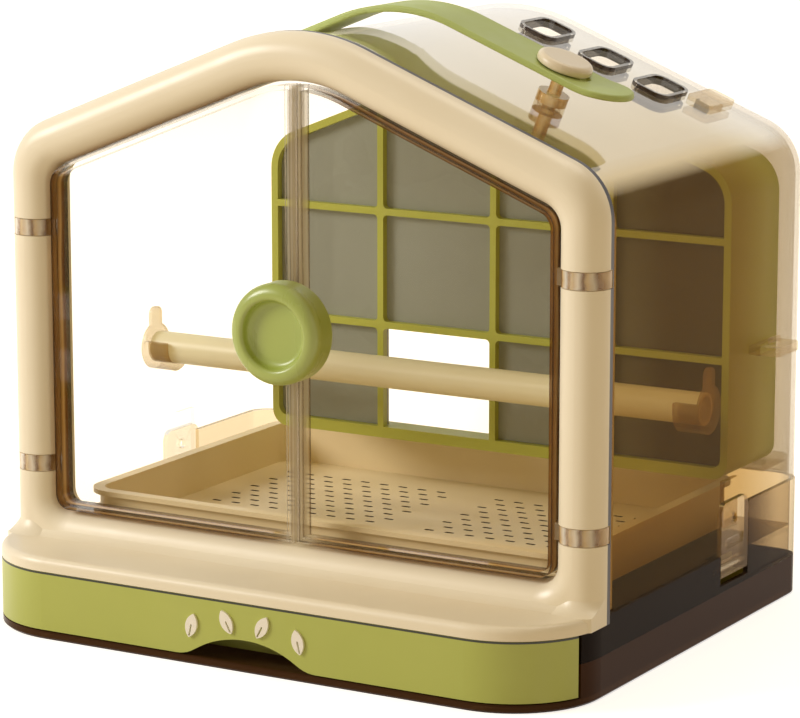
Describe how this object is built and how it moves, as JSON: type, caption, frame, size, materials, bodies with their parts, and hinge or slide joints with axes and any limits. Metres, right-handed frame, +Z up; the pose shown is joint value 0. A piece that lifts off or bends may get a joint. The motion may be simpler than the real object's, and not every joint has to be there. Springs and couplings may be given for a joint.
{
  "type": "bird cage",
  "caption": "House-shaped small-bird cage with a round-railed front frame, clear shell, swing doors, perch, tray, slide-out waste drawer and strap handle.",
  "frame": {"origin": "middle of the resting face under the base, half way between the porch front and the rear wall, on the doors' seam plane", "axes": "+X to the right seen from the front, +Y from the doors to the rear wall, +Z up"},
  "size_m": [0.35, 0.2832, 0.318],
  "materials": {
    "cream_plastic": "moulded cream plastic, soft satin gloss",
    "green_plastic": "moulded leaf-green plastic, satin gloss",
    "green_strap": "soft green strap, matt",
    "clear_plastic": "clear plastic with a light champagne tint, polished",
    "amber_clear": "smoky amber clear plastic, polished",
    "smoke_clear": "smoke-grey clear plastic, polished",
    "off_white_plastic": "moulded off-white plastic",
    "button_cream": "cream plastic button, satin",
    "steel": "plain steel"
  },
  "bodies": {
    "cage": {"front_frame": "cream_plastic", "body_shell": "clear_plastic", "base_housing": "amber_clear", "base_skirt": "clear_plastic", "floor_tray": "cream_plastic", "perch_cradle_left": "clear_plastic", "perch_cradle_right": "clear_plastic", "window_box": "green_plastic", "window_pane": "smoke_clear", "window_brackets": "clear_plastic", "window_side_clip": "clear_plastic", "window_roof_clip": "clear_plastic", "handle_stud_left": "amber_clear", "handle_stud_right": "amber_clear", "handle_button_left": "button_cream", "handle_button_right": "button_cream", "handle_nut_left": "clear_plastic", "handle_nut_right": "clear_plastic", "latch_pin_left": "steel", "latch_pin_right": "steel"},
    "drawer_body": {"drawer": "green_plastic", "drawer_motifs": "off_white_plastic"},
    "left_door_body": {"left_door": "clear_plastic", "left_hinge_clip_upper": "clear_plastic", "left_hinge_clip_lower": "clear_plastic"},
    "right_door_body": {"right_door": "clear_plastic", "right_hinge_clip_upper": "clear_plastic", "right_hinge_clip_lower": "clear_plastic"},
    "knob_body": {"knob": "green_plastic", "knob_spindle": "off_white_plastic", "latch_cam": "clear_plastic", "cam_screw": "steel"},
    "handle_body": {"handle_strap": "green_strap"},
    "perch_body": {"perch_rod": "cream_plastic"},
    "latch_left_body": {"side_latch_left": "clear_plastic"},
    "latch_right_body": {"side_latch_right": "clear_plastic"}
  },
  "joints": [
    {"name": "drawer_slide", "type": "slide", "parent": "cage", "child": "drawer_body", "axis": [0, -1, 0], "range_m": [0, 0.19]},
    {"name": "left_door_swing", "type": "hinge", "parent": "cage", "child": "left_door_body", "pos_m": [-0.15785, -0.088, 0.0792], "axis": [0, 0, -1], "range_deg": [0, 110]},
    {"name": "right_door_swing", "type": "hinge", "parent": "cage", "child": "right_door_body", "pos_m": [0.15785, -0.088, 0.0792], "axis": [0, 0, 1], "range_deg": [0, 110]},
    {"name": "knob_turn", "type": "hinge", "parent": "left_door_body", "child": "knob_body", "pos_m": [0, -0.0972, 0.1635], "axis": [0, 1, 0], "range_deg": [0, 90]},
    {"name": "handle_slide", "type": "slide", "parent": "cage", "child": "handle_body", "axis": [-0.9285, 0, -0.3714], "range_m": [0, 0.012]},
    {"name": "perch_lift", "type": "slide", "parent": "cage", "child": "perch_body", "axis": [0, 0, 1], "range_m": [0, 0.03]},
    {"name": "left_latch_swing", "type": "hinge", "parent": "cage", "child": "latch_left_body", "pos_m": [-0.1659, 0.0569, 0.0315], "axis": [0, -1, 0], "range_deg": [0, 50]},
    {"name": "right_latch_swing", "type": "hinge", "parent": "cage", "child": "latch_right_body", "pos_m": [0.1659, 0.0569, 0.0315], "axis": [0, 1, 0], "range_deg": [0, 50]}
  ],
  "couplings": [
    {"joint": "right_door_swing", "follows": "left_door_swing", "ratio": 1}
  ]
}
